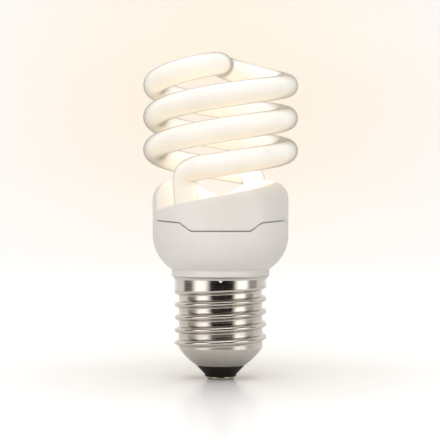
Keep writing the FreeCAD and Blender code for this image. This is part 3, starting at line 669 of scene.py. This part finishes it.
def card_finish():
    """Pale satin card, with the lamp's warm glow painted on it behind the lamp."""
    material, tree, shader = new_material("studio_card")
    marks = uneven(tree, cloud=4.0, grain=900.0)
    link(tree, blend(tree, marks["Cloud"], CARD_SHADE, CARD_TONE), shader.inputs["Base Color"])
    link(tree, ramp(tree, marks["Grain"], 0, 1, 0.22, 0.26), shader.inputs["Roughness"])
    settle(shader, Specular_IOR_Level=0.12)
    place = add(tree, "TexCoord").outputs["Object"]
    centred = add(tree, "Mapping", Location=tuple(-value for value in GLOW_CENTRE))
    link(tree, place, centred.inputs["Vector"])
    # Painted light: a warm pool of the lamp's glow, strongest near a point on the wall behind the lamp.
    near = ramp(tree, length(tree, centred.outputs["Vector"]), GLOW_REACH, GLOW_CORE)
    link(tree, blend(tree, near, CARD_WHITE, CARD_PAINTED_GLOW), shader.inputs["Emission Color"])
    link(tree, own_light(tree, place), shader.inputs["Emission Strength"])
    return material


card.data.materials.append(card_finish())
print("card finished with", card.data.materials[0].name)

# %% [markdown]
# ## Studio light
# Two softboxes stand left and right in front, with the dark room between them. On a mirror-like screw cap
# that room is what draws the form: two bright stripes, a dark middle, and the pale card at both edges. A
# third hangs above the camera and models the white plastic. Shiny things don't see it, so the bead stays
# dark in the middle. The last hangs straight above, and puts the lamp's shadow under its cap. An area
# light's edge mirrors as a hard line, so each cloth is bright in the middle and falls off to both sides.

# %% Softboxes
AIM = Vector((0, 0, 0.045))
EDGE_SHARE = 0.3
SOFTBOXES = {
    "left_softbox": {"turn": -50, "lift": 13, "distance": 0.6, "width": 0.62, "height": 0.5, "power": 1.72},
    "right_softbox": {"turn": 54, "lift": 10, "distance": 0.6, "width": 0.52, "height": 0.38, "power": 1.28},
    "front_softbox": {"turn": -4, "lift": 34, "distance": 0.6, "width": 0.5, "height": 0.3, "power": 1.92},
    "top_softbox": {"turn": 0, "lift": 90, "distance": 0.55, "width": 0.6, "height": 0.6, "power": 4.0},
}


def soft_edges(lamp):
    """The lamp's cloth, bright in the middle and falling off to both sides."""
    lamp.use_nodes = True
    tree = lamp.node_tree
    across = split(tree, add(tree, "NewGeometry").outputs["Parametric"])["X"]
    left = ramp(tree, across, 0.0, EDGE_SHARE)
    right = ramp(tree, across, 1.0, 1 - EDGE_SHARE)
    link(tree, combine(tree, "MULTIPLY", left, right), tree.nodes["Emission"].inputs["Strength"])


def softbox(name, turn, lift, distance, width, height, power):
    """A soft light at an angle round from the camera and a lift above the table, facing the lamp."""
    lamp = bpy.data.lights.new(name, "AREA")
    lamp.shape = "RECTANGLE"
    lamp.size = width
    lamp.size_y = height
    lamp.energy = power
    soft_edges(lamp)
    stand = bpy.data.objects.new(name, lamp)
    around = math.radians(turn)
    up = math.radians(lift)
    way = Vector((math.sin(around) * math.cos(up), -math.cos(around) * math.cos(up), math.sin(up)))
    stand.location = AIM + way * distance
    stand.rotation_euler = (AIM - stand.location).to_track_quat("-Z", "Y").to_euler()
    stand.visible_camera = False
    scene.collection.objects.link(stand)
    return stand


stands = {name: softbox(name, **setting) for name, setting in SOFTBOXES.items()}
stands["front_softbox"].visible_glossy = False
print("softboxes", {name: round(stand.location.z, 2) for name, stand in stands.items()})

# %% [markdown]
# ## The glow on the holder
# The lit coil shines down on the cover that holds it. Its own glow gives most of that light, but a
# renderer finds a small lamp more easily than a glowing tube, so a weak disk inside the coil adds the
# rest with little noise.

# %% Glow of the tube
GLOW_HEIGHT = 0.0615
GLOW_SIZE = 0.026
GLOW_POWER = 0.004
GLOW_COLOUR = colour(255, 246, 232)[:3]

disk = bpy.data.lights.new("tube_glow", "AREA")
disk.shape = "DISK"
disk.size = GLOW_SIZE
disk.energy = GLOW_POWER
disk.color = GLOW_COLOUR
glow = bpy.data.objects.new("tube_glow", disk)
glow.location = (0, 0, GLOW_HEIGHT)
glow.visible_camera = False
glow.visible_glossy = False
scene.collection.objects.link(glow)
print("glow at", GLOW_HEIGHT, "m")

# %% [markdown]
# ## The room
# What lies past the card and the softboxes still shows on metal. The room is dark in front, dim at the
# left, paler at the right and bright behind, for shiny things alone. Everything else gets an even soft
# light from all round.

# %% Room
ROOM_FRONT = (0.012, 0.011, 0.01, 1)
ROOM_LEFT = (0.09, 0.085, 0.08, 1)
ROOM_RIGHT = (0.36, 0.35, 0.34, 1)
ROOM_BACK = (1.0, 0.98, 0.96, 1)
ROOM_SOFT = (0.16, 0.158, 0.156, 1)
SIDES_FROM, SIDES_TO = -0.45, -0.2
BACK_FROM, BACK_TO = 0.12, 0.28


def studio_world():
    """Dark in front and pale behind for shiny things, an even soft light for the rest."""
    world = bpy.data.worlds.new("studio")
    world.use_nodes = True
    tree = world.node_tree
    tree.nodes.clear()
    way = split(tree, add(tree, "TexCoord").outputs["Generated"])
    sides = blend(tree, ramp(tree, way["X"], -1, 1), ROOM_LEFT, ROOM_RIGHT)
    front = blend(tree, ramp(tree, way["Y"], SIDES_FROM, SIDES_TO), ROOM_FRONT, sides)
    room = blend(tree, ramp(tree, way["Y"], BACK_FROM, BACK_TO), front, ROOM_BACK)
    path = add(tree, "LightPath")
    lit = blend(tree, path.outputs["Is Glossy Ray"], ROOM_SOFT, room)
    background = add(tree, "Background")
    link(tree, blend(tree, path.outputs["Is Camera Ray"], lit, CARD_WHITE), background.inputs["Color"])
    link(tree, background.outputs["Background"], add(tree, "OutputWorld").inputs["Surface"])
    return world


scene.world = studio_world()
print("world", scene.world.name)
